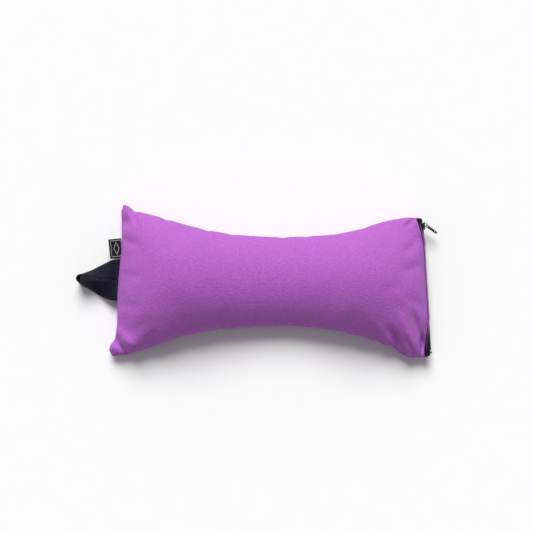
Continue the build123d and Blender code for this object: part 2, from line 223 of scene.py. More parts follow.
def noise(nodes, links, where, scale, detail=4.0, rough=0.55, stretch=None):
    texture = nodes.new("ShaderNodeTexNoise")
    texture.inputs["Scale"].default_value = scale
    texture.inputs["Detail"].default_value = detail
    texture.inputs["Roughness"].default_value = rough
    if stretch:
        mapping = nodes.new("ShaderNodeMapping")
        mapping.inputs["Scale"].default_value = stretch
        links.new(where, mapping.inputs["Vector"])
        where = mapping.outputs["Vector"]
    links.new(where, texture.inputs["Vector"])
    return texture.outputs["Fac"]


def ramp(nodes, links, value, stops):
    """Colours by value: stops are (position, (r, g, b))."""
    made = nodes.new("ShaderNodeValToRGB")
    elements = made.color_ramp.elements
    while len(elements) < len(stops):
        elements.new(0.5)
    for element, (position, colour) in zip(elements, stops):
        element.position = position
        element.color = (*colour, 1)
    links.new(value, made.inputs["Fac"])
    return made.outputs["Color"]


def math_node(nodes, links, operation, a, b=None):
    made = nodes.new("ShaderNodeMath")
    made.operation = operation
    for socket, value in zip(made.inputs, (a, b)):
        if value is None:
            continue
        if isinstance(value, (int, float)):
            socket.default_value = value
        else:
            links.new(value, socket)
    return made.outputs["Value"]


def bump(nodes, links, height, strength, distance, normal=None):
    made = nodes.new("ShaderNodeBump")
    made.inputs["Strength"].default_value = strength
    made.inputs["Distance"].default_value = distance
    links.new(height, made.inputs["Height"])
    if normal:
        links.new(normal, made.inputs["Normal"])
    return made.outputs["Normal"]


def mix_colour(nodes, links, factor, a, b, blend="MIX"):
    made = nodes.new("ShaderNodeMix")
    made.data_type = "RGBA"
    made.blend_type = blend
    if isinstance(factor, (int, float)):
        made.inputs["Factor"].default_value = factor
    else:
        links.new(factor, made.inputs["Factor"])
    for socket, value in ((made.inputs["A"], a), (made.inputs["B"], b)):
        if isinstance(value, tuple):
            socket.default_value = (*value, 1)
        else:
            links.new(value, socket)
    return made.outputs["Result"]


def object_place(nodes):
    return nodes.new("ShaderNodeTexCoord").outputs["Object"]


# ---------------------------------------------------------------- materials
def fleece_material():
    """Short-pile microfleece: tufted pile, faint brushed streaks, soft sheen at grazing angles."""
    made, nodes, links, shader = material("fleece")
    place = object_place(nodes)
    tufts = noise(nodes, links, place, 900, 3, 0.6)
    clumps = noise(nodes, links, place, 430, 4, 0.6)
    streaks = noise(nodes, links, place, 120, 3, 0.5, stretch=(0.45, 1.0, 1.0))
    wear = noise(nodes, links, place, 22, 3, 0.5)
    pile = ramp(nodes, links, clumps, [(0.30, (0.335, 0.082, 0.415)), (0.52, (0.405, 0.108, 0.490)),
                                       (0.74, (0.480, 0.138, 0.570))])
    streaked = mix_colour(nodes, links, ramp(nodes, links, streaks, [(0.35, (0, 0, 0)), (0.7, (0.35,) * 3)]),
                          pile, (0.400, 0.100, 0.490))
    tufted = mix_colour(nodes, links, ramp(nodes, links, tufts, [(0.42, (0, 0, 0)), (0.75, (0.45,) * 3)]),
                        streaked, (0.560, 0.190, 0.650))
    worn = mix_colour(nodes, links, ramp(nodes, links, wear, [(0.45, (0, 0, 0)), (0.8, (0.16,) * 3)]),
                      tufted, (0.500, 0.150, 0.580))
    links.new(worn, shader.inputs["Base Color"])
    shader.inputs["Roughness"].default_value = 0.92
    shader.inputs["Specular IOR Level"].default_value = 0.18
    shader.inputs["Sheen Weight"].default_value = 0.16
    shader.inputs["Sheen Roughness"].default_value = 0.55
    shader.inputs["Sheen Tint"].default_value = (0.86, 0.55, 0.95, 1)
    soft = bump(nodes, links, clumps, 0.80, 0.0014)
    links.new(bump(nodes, links, tufts, 0.70, 0.0006, soft), shader.inputs["Normal"])
    return made


def woven_material(name, dark, light, scale_long, scale_across, rough=0.8, twill=True, sheen=0.15):
    """Woven tape by its own length and width: twill wales or plain weave, with fibre variation."""
    made, nodes, links, shader = material(name)
    uv = nodes.new("ShaderNodeUVMap").outputs["UV"]
    split = nodes.new("ShaderNodeSeparateXYZ")
    links.new(uv, split.inputs["Vector"])
    along = math_node(nodes, links, "MULTIPLY", split.outputs["X"], scale_long)
    across = math_node(nodes, links, "MULTIPLY", split.outputs["Y"], scale_across)
    if twill:
        diagonal = math_node(nodes, links, "ADD", along, across)
        wales = math_node(nodes, links, "SINE", diagonal)
    else:
        wales = math_node(nodes, links, "MULTIPLY", math_node(nodes, links, "SINE", along),
                          math_node(nodes, links, "SINE", across))
    yarns = math_node(nodes, links, "SINE", math_node(nodes, links, "MULTIPLY", across, 2.0))
    height = math_node(nodes, links, "ADD", wales, math_node(nodes, links, "MULTIPLY", yarns, 0.4))
    level = math_node(nodes, links, "MULTIPLY_ADD", height, 0.3)
    level.node.inputs[2].default_value = 0.5
    place = object_place(nodes)
    fibre = noise(nodes, links, place, 500, 4, 0.6)
    base = ramp(nodes, links, level, [(0.1, dark), (0.9, light)])
    tone = ramp(nodes, links, fibre, [(0.3, (0.75,) * 3), (0.75, (1.35,) * 3)])
    links.new(mix_colour(nodes, links, 1.0, base, tone, "MULTIPLY"), shader.inputs["Base Color"])
    shader.inputs["Roughness"].default_value = rough
    shader.inputs["Specular IOR Level"].default_value = 0.12
    shader.inputs["Sheen Weight"].default_value = sheen
    shader.inputs["Sheen Roughness"].default_value = 0.5
    rough_bump = bump(nodes, links, level, 0.6, 0.0004)
    links.new(bump(nodes, links, fibre, 0.3, 0.0002, rough_bump), shader.inputs["Normal"])
    return made


def thread_material(name, colour):
    """Two-ply twisted sewing thread."""
    made, nodes, links, shader = material(name)
    place = object_place(nodes)
    ply = noise(nodes, links, place, 1400, 2, 0.5)
    bright = tuple(min(1.0, c * 1.5) for c in colour)
    links.new(ramp(nodes, links, ply, [(0.35, colour), (0.7, bright)]), shader.inputs["Base Color"])
    shader.inputs["Roughness"].default_value = 0.7
    shader.inputs["Sheen Weight"].default_value = 0.2
    links.new(bump(nodes, links, ply, 0.5, 0.0002), shader.inputs["Normal"])
    return made


def metal_material():
    """Dark gunmetal plating, a little brighter in random worn patches, with a painted highlight: its rounded
    edges are coloured light grey as if they caught the light.
    """
    made, nodes, links, shader = material("gunmetal")
    place = object_place(nodes)
    worn = noise(nodes, links, place, 380, 5, 0.6)
    rounded = nodes.new("ShaderNodeBevel")
    rounded.inputs["Radius"].default_value = 0.00035
    facing = nodes.new("ShaderNodeVectorMath")
    facing.operation = "DOT_PRODUCT"
    links.new(rounded.outputs["Normal"], facing.inputs[0])
    links.new(nodes.new("ShaderNodeNewGeometry").outputs["Normal"], facing.inputs[1])
    # painted highlight: where the bevel normal turns away from the face, at the rounded edges, the colour
    # goes light grey as if the edges caught the light
    painted_edge_highlight = ramp(nodes, links, facing.outputs["Value"], [(0.88, (1, 1, 1)), (0.985, (0, 0, 0))])
    plain = ramp(nodes, links, worn, [(0.35, (0.022, 0.022, 0.026)), (0.75, (0.050, 0.050, 0.056))])
    links.new(mix_colour(nodes, links, painted_edge_highlight, plain, (0.34, 0.34, 0.36)), shader.inputs["Base Color"])
    shader.inputs["Metallic"].default_value = 0.85
    links.new(ramp(nodes, links, worn, [(0.3, (0.28,) * 3), (0.8, (0.48,) * 3)]), shader.inputs["Roughness"])
    links.new(bump(nodes, links, worn, 0.15, 0.0002), shader.inputs["Normal"])
    return made


def coil_material():
    """Satin black nylon wire."""
    made, nodes, links, shader = material("nylon_coil")
    grain = noise(nodes, links, object_place(nodes), 900, 3, 0.5)
    links.new(ramp(nodes, links, grain, [(0.3, (0.010, 0.010, 0.012)), (0.8, (0.026, 0.026, 0.030))]),
              shader.inputs["Base Color"])
    shader.inputs["Roughness"].default_value = 0.38
    links.new(bump(nodes, links, grain, 0.15, 0.0001), shader.inputs["Normal"])
    return made


def lining_material(name, low, high, scale):
    """Plain cotton lining or loose wadding: pale and fibrous."""
    made, nodes, links, shader = material(name)
    place = object_place(nodes)
    fibre = noise(nodes, links, place, scale, 6, 0.65)
    links.new(ramp(nodes, links, fibre, [(0.3, low), (0.75, high)]), shader.inputs["Base Color"])
    shader.inputs["Roughness"].default_value = 0.9
    shader.inputs["Sheen Weight"].default_value = 0.2
    links.new(bump(nodes, links, fibre, 0.6, 0.0008), shader.inputs["Normal"])
    return made


def label_material():
    """Black woven ribbon with a pale woven border and a plain lozenge, by the ribbon's own UVs."""
    made, nodes, links, shader = material("label_ribbon")
    uv = nodes.new("ShaderNodeUVMap").outputs["UV"]
    split = nodes.new("ShaderNodeSeparateXYZ")
    links.new(uv, split.inputs["Vector"])
    from_middle = [math_node(nodes, links, "ABSOLUTE", math_node(nodes, links, "SUBTRACT", axis, 0.5))
                   for axis in (split.outputs["X"], split.outputs["Y"])]
    lozenge = math_node(nodes, links, "ADD", math_node(nodes, links, "MULTIPLY", from_middle[0], 1.5),
                        from_middle[1])
    ring = math_node(nodes, links, "ABSOLUTE", math_node(nodes, links, "SUBTRACT", lozenge, 0.30))
    line = math_node(nodes, links, "LESS_THAN", ring, 0.030)
    frame_line = math_node(nodes, links, "MAXIMUM",
                           math_node(nodes, links, "MULTIPLY", from_middle[0], 1.05), from_middle[1])
    from_border = math_node(nodes, links, "ABSOLUTE",
                            math_node(nodes, links, "SUBTRACT", frame_line, 0.41))
    border = math_node(nodes, links, "LESS_THAN", from_border, 0.014)
    mark = math_node(nodes, links, "MAXIMUM", line, border)
    ribs = math_node(nodes, links, "SINE", math_node(nodes, links, "MULTIPLY", split.outputs["Y"], 420.0))
    rib_level = math_node(nodes, links, "MULTIPLY_ADD", ribs, 0.4)
    rib_level.node.inputs[2].default_value = 0.5
    black = ramp(nodes, links, rib_level, [(0.1, (0.005, 0.005, 0.006)), (0.9, (0.013, 0.013, 0.015))])
    pale = ramp(nodes, links, rib_level, [(0.1, (0.28, 0.28, 0.29)), (0.9, (0.55, 0.55, 0.56))])
    links.new(mix_colour(nodes, links, mark, black, pale), shader.inputs["Base Color"])
    shader.inputs["Roughness"].default_value = 0.7
    shader.inputs["Specular IOR Level"].default_value = 0.15
    links.new(bump(nodes, links, rib_level, 0.5, 0.0002), shader.inputs["Normal"])
    return made


def floor_material():
    made, nodes, links, shader = material("paper_floor")
    grain = noise(nodes, links, object_place(nodes), 40, 3, 0.5)
    paper = ramp(nodes, links, grain, [(0.2, (0.895,) * 3), (0.8, (0.905,) * 3)])
    links.new(paper, shader.inputs["Base Color"])
    shader.inputs["Roughness"].default_value = 0.95
    shader.inputs["Specular IOR Level"].default_value = 0.0
    return made


FLEECE = fleece_material()
NAVY_TWILL = woven_material("navy_twill", (0.0035, 0.0045, 0.012), (0.0095, 0.0125, 0.027), 3000, 2100,
                            sheen=0.03)
ZIP_TAPE = woven_material("zipper_tape", (0.0030, 0.0030, 0.0045), (0.0095, 0.0095, 0.0125), 5200, 5200,
                          sheen=0.02)
PURPLE_THREAD = thread_material("purple_thread", (0.21, 0.055, 0.27))
NAVY_THREAD = thread_material("navy_thread", (0.016, 0.020, 0.040))
WHITE_THREAD = thread_material("white_thread", (0.6, 0.6, 0.58))
METAL = metal_material()
COIL = coil_material()
LINING = lining_material("cotton_lining", (0.66, 0.65, 0.62), (0.82, 0.81, 0.78), 700)
WADDING = lining_material("fibre_wadding", (0.74, 0.74, 0.72), (0.92, 0.92, 0.90), 90)
LABEL = label_material()
FLOOR = floor_material()


def finish_piece(obj, look, body, slot, *nodes):
    """Gives a piece its material and body, and hides the CAD nodes that it stands for. The slot is not used.
    """
    obj.data.materials.clear()
    obj.data.materials.append(look)
    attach(obj, body)
    if nodes:
        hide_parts(*nodes)
    return obj


# ---------------------------------------------------------------- the cushion's two panels
def panel_grid():
    """The two panels' drawn shape before the simulation, in millimetres: top, bottom."""
    a = np.linspace(0, 1, GRID_LONG + 1)
    s = 0.55 * a + 0.45 * (0.5 - 0.5 * np.cos(np.pi * a))
    b = np.linspace(-1, 1, GRID_ACROSS + 1)
    t = 0.35 * b + 0.65 * np.sin(np.pi / 2 * b)
    s, t = np.meshgrid(s, t, indexing="ij")
    along = t * 88.0
    left = left_seam(t * 95.5)
    grids = []
    end = np.clip(1 - np.abs(2 * s - 1) ** 6, 0, 1) ** 0.55
    for side in (1, -1):
        up, out = hem_line(along[-1], side)
        hem = np.array([zip_point(u, v, n) for u, v, n in zip(along[-1], up, out)]) / MM
        x = left * (1 - s) + hem[:, 0][None, :] * s
        share = (t + 1) / 2
        y = front_edge(x) * (1 - share) + back_edge(x) * share
        y = y + (hem[:, 1][None, :] - y) * ease(0.93, 1.0, s)
        seam = seam_height(x)
        if side > 0:
            z = seam + crown_height(x) * np.clip(1 - np.abs(t) ** 2.0, 0, 1) ** 0.5 * end
        else:
            z = seam - seam * np.clip(1 - np.abs(t) ** 4.5, 0, 1) ** 0.5 * np.clip(
                1 - np.abs(2 * s - 1) ** 12, 0, 1) ** 0.5
        z = z + (hem[:, 2][None, :] - z) * ease(0.975, 1.0, s)
        grids.append(np.stack([x, y, z], axis=-1))
    grids[1][0], grids[1][:, 0], grids[1][:, -1] = grids[0][0], grids[0][:, 0], grids[0][:, -1]
    return grids


def panel_mesh(grids):
    """One mesh of both panels, joined along the front, left and back seams and open at the hem.

    Returns the points, the faces, the number of top faces, and each grid's vertex numbers."""
    long, across = GRID_LONG + 1, GRID_ACROSS + 1
    top = np.arange(long * across).reshape(long, across)
    bottom = np.full((long, across), -1)
    bottom[0], bottom[:, 0], bottom[:, -1] = top[0], top[:, 0], top[:, -1]
    free = np.argwhere(bottom < 0)
    bottom[free[:, 0], free[:, 1]] = long * across + np.arange(len(free))
    points = np.concatenate([grids[0].reshape(-1, 3), grids[1][free[:, 0], free[:, 1]]])
    faces = []
    for numbers, flip in ((top, False), (bottom, True)):
        for i in range(long - 1):
            for j in range(across - 1):
                quad = [numbers[i, j], numbers[i + 1, j], numbers[i + 1, j + 1], numbers[i, j + 1]]
                faces.append(quad[::-1] if flip else quad)
    return points * MM, faces, (long - 1) * (across - 1), top, bottom


def inflate(points, faces, pinned, seam):
    """Cloth simulation under pressure; returns the points that the fabric settles at."""
    obj = new_object("cushion_simulation", points, faces)
    for name, weights in (("pin", pinned), ("shrink", seam)):
        group = obj.vertex_groups.new(name=name)
        for level in np.unique(np.round(weights, 2)):
            if level > 0:
                members = np.flatnonzero(np.round(weights, 2) == level)
                group.add([int(k) for k in members], float(level), "REPLACE")
    cloth = obj.modifiers.new("Cloth", "CLOTH")
    settings = cloth.settings
    settings.quality = 6
    settings.mass = 0.25
    settings.tension_stiffness = 22
    settings.compression_stiffness = 14
    settings.shear_stiffness = 6
    settings.bending_stiffness = 1.6
    settings.vertex_group_mass = "pin"
    settings.vertex_group_shrink = "shrink"
    settings.shrink_min = -0.035
    settings.shrink_max = 0.045
    settings.use_pressure = True
    settings.uniform_pressure_force = PRESSURE
    settings.effector_weights.gravity = 0.0
    cloth.collision_settings.use_collision = False
    cloth.collision_settings.use_self_collision = False
    cloth.point_cache.frame_start = 1
    cloth.point_cache.frame_end = SIMULATED_FRAMES
    scene = bpy.context.scene
    scene.frame_start, scene.frame_end = 1, SIMULATED_FRAMES
    for number in range(1, SIMULATED_FRAMES + 1):
        scene.frame_set(number)
    settled = mesh_points(obj.evaluated_get(bpy.context.evaluated_depsgraph_get()))
    scene.frame_set(1)
    bpy.data.objects.remove(obj)
    return settled


def settle_cushion(points, faces, top, bottom):
    """The panels after the simulation, its movement smoothed, halved and capped.

    The hem, the left end seam and the part that rests on the floor are pinned."""
    flat = points[:, 2] < 0.6 * MM
    pinned = flat.astype(float)
    pinned[top[-1]] = 1
    pinned[bottom[-1]] = 1
    pinned[top[0][6:-6]] = 1
    seam = np.zeros(len(points))
    for ring, weight in ((0, 1.0), (1, 1.0), (2, 0.6), (3, 0.25)):
        for numbers in (top, bottom):
            for edge in (numbers[:, ring], numbers[:, -1 - ring], numbers[ring]):
                seam[edge] = np.maximum(seam[edge], weight)
    moved = inflate(points, faces, pinned, seam) - points
    for numbers in (top, bottom):
        field = moved[numbers]
        for _ in range(SMOOTHING_PASSES):
            field[1:-1, 1:-1] = (field[1:-1, 1:-1] * 2 + field[2:, 1:-1] + field[:-2, 1:-1]
                                 + field[1:-1, 2:] + field[1:-1, :-2]) / 6
        inside = numbers[1:-1, 1:-1]
        moved[inside] = 0.75 * field[1:-1, 1:-1] + 0.25 * moved[inside]
    moved *= KEPT_SHARE
    x, y = points[:, 0] / MM, points[:, 1] / MM
    corner = ease(140, 185, np.abs(x)) * ease(45, 80, np.abs(y))
    length = np.linalg.norm(moved, axis=1)
    most = (MOST_MOVED - LESS_AT_CORNERS * corner) * MM
    moved *= (most * np.tanh(length / most) / np.maximum(length, 1e-9))[:, None]
    return points + moved


def fit_outline(points, top, bottom):
    """Draws each slice across in or out, so that its widest place is the cushion's own edge."""
    fitted = points.copy()
    x = points[:, 0] / MM
    stations = np.linspace(-178, 178, 60)
    fixed = []
    for station in stations:
        near = np.abs(x - station) < 4
        middle = (front_edge(station) + back_edge(station)) / 2
        low, high = points[near, 1].min() / MM, points[near, 1].max() / MM
        fixed.append(((front_edge(station) - middle) / (low - middle),
                      (back_edge(station) - middle) / (high - middle)))
    fixed = np.array(fixed)
    kernel = np.ones(5) / 5
    middle = (front_edge(x) + back_edge(x)) / 2
    y = points[:, 1] / MM
    for column, half in ((0, y < middle), (1, y >= middle)):
        smooth = np.convolve(np.pad(fixed[:, column], 2, mode="edge"), kernel, mode="valid")
        scale = np.interp(x, stations, smooth)
        calm = ease(180, 170, np.abs(x))
        scale = 1 + (scale - 1) * calm
        fitted[half, 1] = (middle + (y - middle) * scale)[half] * MM
    fitted[:, 2] = np.maximum(fitted[:, 2], 0.0)
    return fitted


def dent(points, centre, size, depth, direction):
    """Pushes the points round a centre, by a smooth bell of that size, along a direction."""
    offset = (points / MM - np.array(centre)) / np.array(size)
    share = np.exp(-(offset**2).sum(axis=1))
    return points + share[:, None] * np.array(direction)[None, :] * depth * MM


def crease(points, start, end, width, depth, reach=1.0, direction=(0, 0, -1)):
    """A valley, or a ridge where depth is negative, along a line in plan; it fades at its ends.

    It leaves everything below 8 mm alone, so that the underside stays flat."""
    start, end = np.array(start, float), np.array(end, float)
    way = (end - start) / np.linalg.norm(end - start)
    flat = points[:, :2] / MM - start
    along = flat @ way
    across = flat @ np.array([-way[1], way[0]])
    length = np.linalg.norm(end - start)
    share = (np.exp(-(across / width) ** 2) * ease(-0.25 * length * reach, 0.25 * length, along)
             * ease(length * (1 + 0.25 * reach), 0.75 * length, along))
    share *= points[:, 2] / MM > 8
    return points + share[:, None] * np.array(direction, float)[None, :] * depth * MM


def hold_end(points, top, bottom):
    """Keeps both panels behind the zipper, so that nothing bulges over the slider's way."""
    held = points.copy()
    for numbers, most, slope in ((top, 0.2, 0.05), (bottom, -1.9, 0.28)):
        near = numbers[-34:].ravel()
        offset = (points[near] - np.array(ZIP_ORIGIN)) / MM
        out = offset @ np.array(ZIP_OUT)
        limit = most - slope * np.abs(offset[:, 2])
        excess = np.maximum(out - limit, 0)
        held[near] -= (excess * MM)[:, None] * np.array(ZIP_OUT)
    return held


def shape_corners(points):
    """The folds that the four corners of the sewn cover take."""
    # Front left: a small stuffed pouch, cut off from the body by a deep diagonal crease.
    points = dent(points, (-190, -84, 16), (10, 10, 30), 4.5, (-0.75, -0.25, 0.4))
    points = crease(points, (-199, -67), (-172, -95), 3.4, 7.5, 0.6)
    points = crease(points, (-189, -62), (-164, -86), 5.0, -5.0)
    points = crease(points, (-164, -90), (-140, -66), 4.5, 3.2)
    # Back left: a pointed ear with a dimple beside it.
    points = dent(points, (-181, 74, 30), (7, 8, 30), 6.5, (0, 0, -1))
    points = crease(points, (-177, 93), (-166, 70), 3.6, 3.4)
    points = crease(points, (-184, 52), (-160, 40), 4.5, 2.6)
    points = crease(points, (-184, 8), (-156, 0), 5.0, 2.2)
    points = crease(points, (-186, -30), (-160, -34), 5.0, 2.0)
    points = dent(points, (-168, 30, 40), (16, 7, 40), 1.8, (0, 0, -1))
    # Back right: one fold across the ear.
    points = crease(points, (188, 84), (168, 66), 3.0, 4.0)
    points = crease(points, (190, 52), (166, 34), 6.0, 3.5)
    points = crease(points, (188, 18), (164, 8), 6.0, 2.4)
    # Front right: folds that fan out from the corner.
    points = crease(points, (182, -101), (166, -72), 3.4, 6.0)
    points = crease(points, (168, -96), (148, -62), 4.2, 8.0)
    points = crease(points, (174, -88), (160, -46), 5.5, -4.5)
    points = crease(points, (193, -86), (176, -44), 4.2, 5.5)
    points = crease(points, (187, -98), (189, -70), 2.6, 4.0)
    points = crease(points, (154, -90), (130, -58), 5.5, -3.5)
    points = crease(points, (146, -88), (120, -56), 4.5, 3.5)
    points = crease(points, (134, -16), (158, -10), 8.0, 1.8)
    points = crease(points, (168, -24), (190, -34), 5.0, 2.2)
    return points


def draw_up_seams(points):
    """Puckers: the long seams pull in a little, with a shallow crease running up from each."""
    x, y, z = (points / MM).T
    for place, side, depth in PUCKERS:
        edge = back_edge(x) if side > 0 else front_edge(x)
        inward = (edge - y) * side
        slant = place + 0.25 * inward
        share = np.exp(-((x - slant) / PUCKER_WIDTH) ** 2) * np.exp(-(inward / PUCKER_REACH) ** 2)
        y = y - side * share * depth
        z = z - share * depth * 0.9 * ease(8, 20, z)
    return np.stack([x, y, z], axis=1) * MM


def panel_object(name, points, faces, wall=COVER_WALL):
    """One panel as a fabric shell: subdivided, with its thickness inwards."""
    used = sorted({int(k) for face in faces for k in face})
    number = {k: n for n, k in enumerate(used)}
    obj = new_object(name, points[used], [[number[int(k)] for k in face] for face in faces])
    smooth = obj.modifiers.new("smooth", "SUBSURF")
    smooth.levels = smooth.render_levels = 1
    thick = obj.modifiers.new("wall", "SOLIDIFY")
    thick.thickness = wall * MM
    thick.offset = -1
    apply_modifiers(obj)
    obj.data.shade_smooth()
    return obj


def make_cushion():
    grids = panel_grid()
    points, faces, top_count, top, bottom = panel_mesh(grids)
    points = settle_cushion(points, faces, top, bottom)
    points = fit_outline(points, top, bottom)
    points = draw_up_seams(points)
    hem = points[np.concatenate([top[-1], bottom[-1]])].copy()
    points = shape_corners(points)
    points[np.concatenate([top[-1], bottom[-1]])] = hem
    points = hold_end(points, top, bottom)
    points[:, 2] = np.maximum(points[:, 2], FLOOR_GAP * MM)
    return points, faces, top_count, top, bottom


cushion_points, cushion_faces, top_count, top_grid, bottom_grid = make_cushion()

cover_top = panel_object("cover_top", cushion_points, cushion_faces[:top_count])
finish_piece(cover_top, FLEECE, "cushion", "cover_fleece", "cover_top_panel")
cover_bottom = panel_object("cover_bottom", cushion_points, cushion_faces[top_count:])
finish_piece(cover_bottom, FLEECE, "cushion", "cover_fleece", "cover_bottom_panel")


# ---------------------------------------------------------------- inside the cover: bag and wadding
def inset_points(points, share_long, share_across, share_high, gap):
    """The cushion's points drawn in towards its middle line and kept a gap inside its fabric."""
    tree = BVHTree.FromPolygons([Vector(p) for p in points], [[int(k) for k in f] for f in cushion_faces])
    inner = points.copy()
    x = points[:, 0] / MM
    middle_y = (front_edge(x) + back_edge(x)) / 2
    middle_z = seam_height(x)
    inner[:, 0] = points[:, 0] * (1 - share_long)
    inner[:, 1] = (middle_y + (points[:, 1] / MM - middle_y) * (1 - share_across)) * MM
    inner[:, 2] = (middle_z + (points[:, 2] / MM - middle_z) * (1 - share_high)) * MM
    for point in inner:
        above = tree.ray_cast(Vector((point[0], point[1], 1)), Vector((0, 0, -1)))[0]
        below = tree.ray_cast(Vector((point[0], point[1], -1)), Vector((0, 0, 1)))[0]
        if above is None or below is None:
            continue
        low, high = below.z + gap * MM, above.z - gap * MM
        point[2] = (low + high) / 2 if high < low else min(max(point[2], low), high)
    return inner


end_wall = [[top_grid[-1, j], bottom_grid[-1, j], bottom_grid[-1, j + 1], top_grid[-1, j + 1]]
            for j in range(GRID_ACROSS)]
bag_points = inset_points(cushion_points, 0.055, 0.085, 0.10, BAG_GAP)
bag_top = panel_object("bag_top", bag_points, cushion_faces[:top_count] + end_wall, wall=BAG_WALL)
finish_piece(bag_top, LINING, "cushion", "bag_fabric", "inner_bag_top")
bag_bottom = panel_object("bag_bottom", bag_points, cushion_faces[top_count:], wall=BAG_WALL)
finish_piece(bag_bottom, LINING, "cushion", "bag_fabric", "inner_bag_bottom")
wadding_points = inset_points(cushion_points, 0.07, 0.12, 0.15, WADDING_GAP)
wadding = new_object("wadding", wadding_points, cushion_faces + end_wall)
finish_piece(wadding, WADDING, "cushion", "filling_fibre", "filling")


# ---------------------------------------------------------------- seam threads
def dashes(line, pitch, length, lift=None):
    """Short stitches along a line of points: lists of points, one list per stitch."""
    line = np.asarray(line, float)
    steps = np.concatenate([[0], np.cumsum(np.linalg.norm(np.diff(line, axis=0), axis=1))])
    made = []
    for start in np.arange(pitch * 0.3, steps[-1] - length, pitch):
        at = np.linspace(start, start + length, 6)
        stitch = np.stack([np.interp(at, steps, line[:, k]) for k in range(3)], axis=1)
        if lift is not None:
            stitch += lift * (0.35 * np.sin(np.linspace(0, np.pi, 6)))[:, None]
        made.append(stitch)
    return made


def seam_line(points, inset):
    """The sewn seam from the hem round the front, left and back edges, drawn in by an inset."""
    numbers = np.concatenate([top_grid[-4:0:-1, 0], top_grid[0, :], top_grid[1:-3, -1]])
    line = points[numbers].copy()
    inward = -line
    inward[:, 2] = 0
    inward /= np.linalg.norm(inward, axis=1)[:, None]
    return line + inward * inset * MM


cover_dashes = dashes(seam_line(cushion_points, 1.3), SEAM_PITCH * MM, SEAM_STITCH * MM)
cover_thread = tube("cover_seam_stitches", cover_dashes, 0.28 * MM, 6)
finish_piece(cover_thread, PURPLE_THREAD, "cushion", "purple_thread", "cover_seam_thread")
bag_dashes = dashes(seam_line(bag_points, 0.6), SEAM_PITCH * MM, SEAM_STITCH * MM)
bag_thread = tube("bag_seam_stitches", bag_dashes, 0.25 * MM, 6)
finish_piece(bag_thread, WHITE_THREAD, "cushion", "bag_thread", "inner_bag_seam_thread")


# ---------------------------------------------------------------- ribbons with their own UVs
def ribbon(name, sections, thickness, bulge=0.0):
    """A woven tape through (middle, width direction, width) sections, with rounded selvedges.

    Its UVs are metres along and across, so that a weave keeps its size."""
    middles = np.array([s[0] for s in sections], float)
    ways = np.array([s[1] for s in sections], float)
    widths = np.array([s[2] for s in sections], float)
    travel = np.gradient(middles, axis=0)
    face = np.cross(travel, ways)
    face /= np.linalg.norm(face, axis=1)[:, None]
    lengths = np.concatenate([[0], np.cumsum(np.linalg.norm(np.diff(middles, axis=0), axis=1))])
    steps = 13
    w = np.linspace(-1, 1, steps)
    half = thickness / 2 * np.clip(1 - np.abs(w) ** 14, 0, 1) ** 0.5
    half = np.maximum(half, thickness * 0.16) * (1 + 0.25 * (np.abs(w) > 0.88) * (np.abs(w) < 0.99))
    ring = [(w[k], half[k]) for k in range(steps)] + [(w[k], -half[k]) for k in reversed(range(steps))]
    verts, uvs, faces = [], [], []
    for k in range(len(middles)):
        for across, height in ring:
            offset = height + bulge * (1 - across**2)
            verts.append(middles[k] + ways[k] * widths[k] / 2 * across + face[k] * offset)
            uvs.append((lengths[k], widths[k] / 2 * across))
    count = len(ring)
    for k in range(len(middles) - 1):
        for r in range(count):
            a, b = k * count + r, k * count + (r + 1) % count
            faces.append((a, b, b + count, a + count))
    for k, order in ((0, -1), (len(middles) - 1, 1)):
        for r in range(steps - 1):
            quad = [k * count + r, k * count + r + 1, k * count + count - 2 - r, k * count + count - 1 - r]
            faces.append(quad[::order])
    obj = new_object(name, verts, faces)
    bm = bmesh.new()
    bm.from_mesh(obj.data)
    bmesh.ops.recalc_face_normals(bm, faces=bm.faces)
    layer = bm.loops.layers.uv.new("UVMap")
    for bm_face in bm.faces:
        for loop in bm_face.loops:
            loop[layer].uv = uvs[loop.vert.index]
    bm.to_mesh(obj.data)
    bm.free()
    obj.data.shade_smooth()
    return obj


# ---------------------------------------------------------------- the carry loop
# One leg, from inside the seam to the nose: (x, outer edge, inner edge), measured from the loop's
# middle line. The second leg is the mirror of its own list.
LOOP_TAPE = 25.0
LOOP_MIDDLE_Y = 3.0
LOOP_Z = 15.0
UPPER_LEG = [(-182, 24.3, -0.7), (-195, 24.3, -0.7), (-205, 21.6, -0.4), (-214, 17.8, 0.4),
             (-222, 14.2, 2.2), (-229, 10.9, 3.6), (-235, 8.3, 4.6), (-239.4, 5.0, 3.4)]
LOWER_LEG = [(-182, 27.2, 2.2), (-195, 27.2, 2.2), (-205, 24.6, 1.9), (-214, 20.5, 2.4),
             (-222, 15.8, 3.2), (-229, 11.4, 3.9), (-235, 8.3, 4.6), (-239.4, 5.0, 3.4)]
NOSE_X = -241.2
NOSE_DROP = 2.3  # the limp nose sinks by this much, until its lower edge is on the table


def leg_sections(leg, side):
    sections = []
    for x, outer, inner in leg:
        across = outer - inner
        upright = math.sqrt(LOOP_TAPE**2 - across**2)
        way = Vector((0, side * across, -upright)).normalized()
        sections.append((x, LOOP_MIDDLE_Y + side * (outer + inner) / 2, LOOP_Z, *way))
    return sections


def loop_sections(count=96):
    """The loop's smooth course: middle, width direction and width at even steps."""
    course = leg_sections(UPPER_LEG, 1) + [(NOSE_X, LOOP_MIDDLE_Y, LOOP_Z, 0, 0, -1)]
    course = np.array(course + leg_sections(LOWER_LEG, -1)[::-1], float)
    steps = np.concatenate([[0], np.cumsum(np.linalg.norm(np.diff(course[:, :3], axis=0), axis=1))])
    at = np.linspace(0, steps[-1], count)
    smooth = np.stack([through(np.stack([steps, course[:, k]], axis=1))(at) for k in range(6)], axis=1)
    ways = smooth[:, 3:] / np.linalg.norm(smooth[:, 3:], axis=1)[:, None]
    smooth[:, 2] -= NOSE_DROP * ease(-200, -222, smooth[:, 0])
    return [(smooth[k, :3] * MM, ways[k], LOOP_TAPE * MM) for k in range(count)]


